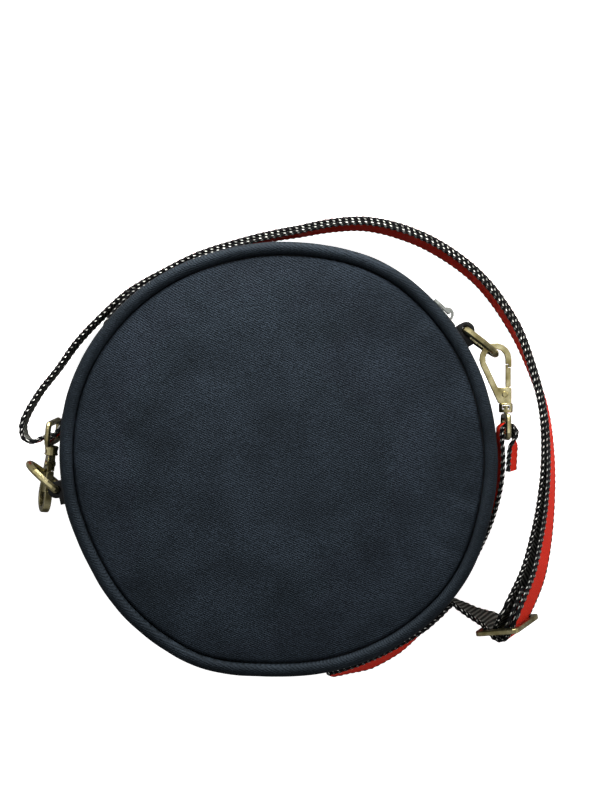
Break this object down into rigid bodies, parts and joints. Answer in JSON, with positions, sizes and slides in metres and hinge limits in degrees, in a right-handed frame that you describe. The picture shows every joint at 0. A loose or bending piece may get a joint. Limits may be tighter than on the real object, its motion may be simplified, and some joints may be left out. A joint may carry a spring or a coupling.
{
  "type": "sling bag",
  "caption": "Round zipped canvas sling bag with a webbing strap, three bar slider, two D rings and two swivel snap hooks.",
  "frame": {"origin": "centre of the back panel's flat outer face, where the bag rests when it lies on its back", "axes": "+Z out of the front panel, +Y towards the bag's own top in the middle of the zip, +X to the bag's right seen from the front"},
  "size_m": [0.233, 0.2102, 0.058],
  "materials": {
    "navy_canvas": "matte fine twill canvas, navy black",
    "black_lining": "matte woven lining",
    "black_tape": "matte ribbed zip tape",
    "black_teeth": "satin moulded teeth",
    "black_leather": "smooth leather with cut light edges",
    "red_webbing": "ribbed webbing, red with dashed black borders",
    "antique_brass": "dull antique plating",
    "nickel": "satin nickel plating",
    "spring_steel": "bare spring steel"
  },
  "bodies": {
    "bag": {"back_panel": "navy_canvas", "front_panel": "navy_canvas", "gusset_lower": "navy_canvas", "gusset_strip_back": "navy_canvas", "gusset_strip_front": "navy_canvas", "lining_back": "black_lining", "lining_band_lower": "black_lining", "lining_front": "black_lining", "lining_strip_back": "black_lining", "lining_strip_front": "black_lining", "piping_back": "navy_canvas", "piping_front": "navy_canvas", "strap_end_right": "red_webbing", "strap_end_slider": "red_webbing", "strap_hairpin": "red_webbing", "strap_hug": "red_webbing", "strap_inner_left": "red_webbing", "strap_inner_right": "red_webbing", "strap_inner_top": "red_webbing", "strap_loop_left": "red_webbing", "strap_outer_left": "red_webbing", "strap_outer_right": "red_webbing", "strap_outer_top": "red_webbing", "strap_return": "red_webbing", "strap_slider": "antique_brass", "strap_slider_turn": "red_webbing", "strap_tail": "red_webbing", "tab_left": "black_leather", "tab_right": "black_leather", "zip_tape_back": "black_tape", "zip_tape_front": "black_tape", "zip_teeth_back": "black_teeth", "zip_teeth_front": "black_teeth"},
    "d_ring_right": {"d_ring_right": "antique_brass"},
    "eye_right": {"eye_right": "antique_brass"},
    "hook_right": {"hook_right": "antique_brass", "gate_rivet_right": "antique_brass", "gate_spring_right": "spring_steel"},
    "gate_right": {"gate_right": "antique_brass"},
    "d_ring_left": {"d_ring_left": "antique_brass"},
    "eye_left": {"eye_left": "antique_brass"},
    "hook_left": {"hook_left": "antique_brass", "gate_rivet_left": "antique_brass", "gate_spring_left": "spring_steel"},
    "gate_left": {"gate_left": "antique_brass"},
    "zip_slider": {"zip_slider": "nickel", "zip_slider_lower": "nickel"},
    "zip_pull": {"zip_pull": "nickel"}
  },
  "joints": [
    {"name": "d_ring_right_swing", "type": "hinge", "parent": "bag", "child": "d_ring_right", "pos_m": [0.09589, 0.02462, 0.028], "axis": [0, 0, 1], "range_deg": [-2, 1]},
    {"name": "d_ring_left_swing", "type": "hinge", "parent": "bag", "child": "d_ring_left", "pos_m": [-0.09669, 0.02126, 0.028], "axis": [0, 0, 1], "range_deg": [0, 8]},
    {"name": "eye_right_swing", "type": "hinge", "parent": "bag", "child": "eye_right", "pos_m": [0.09673, -0.02576, 0.028], "axis": [0, 0, 1], "range_deg": [-1, 1]},
    {"name": "eye_left_swing", "type": "hinge", "parent": "bag", "child": "eye_left", "pos_m": [-0.08933, 0.05006, 0.02044], "axis": [-0.107, -0.0483, 0.9931], "range_deg": [0, 0.3]},
    {"name": "hook_right_swivel", "type": "hinge", "parent": "eye_right", "child": "hook_right", "pos_m": [0.09673, -0.02576, 0.028], "axis": [0.347, 0.9379, 0], "range_deg": [-10, 10]},
    {"name": "hook_left_swivel", "type": "hinge", "parent": "eye_left", "child": "hook_left", "pos_m": [-0.08933, 0.05006, 0.02044], "axis": [-0.4371, -0.8948, -0.0906], "range_deg": [0, 12]},
    {"name": "gate_right_swing", "type": "hinge", "parent": "hook_right", "child": "gate_right", "pos_m": [0.10282, -0.00786, 0.028], "axis": [0, 0, 1], "range_deg": [0, 22], "stiffness_Nm_per_rad": 0.002, "springref_deg": -17.19},
    {"name": "gate_left_swing", "type": "hinge", "parent": "hook_left", "child": "gate_left", "pos_m": [-0.09772, 0.03326, 0.01826], "axis": [0.8607, -0.3869, -0.3308], "range_deg": [0, 1], "stiffness_Nm_per_rad": 0.002, "springref_deg": -17.19},
    {"name": "zip_slider_run", "type": "hinge", "parent": "bag", "child": "zip_slider", "pos_m": [0, 0, 0.028], "axis": [0, 0, 1], "range_deg": [0, 100]},
    {"name": "zip_pull_flip", "type": "hinge", "parent": "zip_slider", "child": "zip_pull", "pos_m": [0.09211, 0.03462, 0.028], "axis": [0, 0, -1], "range_deg": [0, 150]}
  ]
}
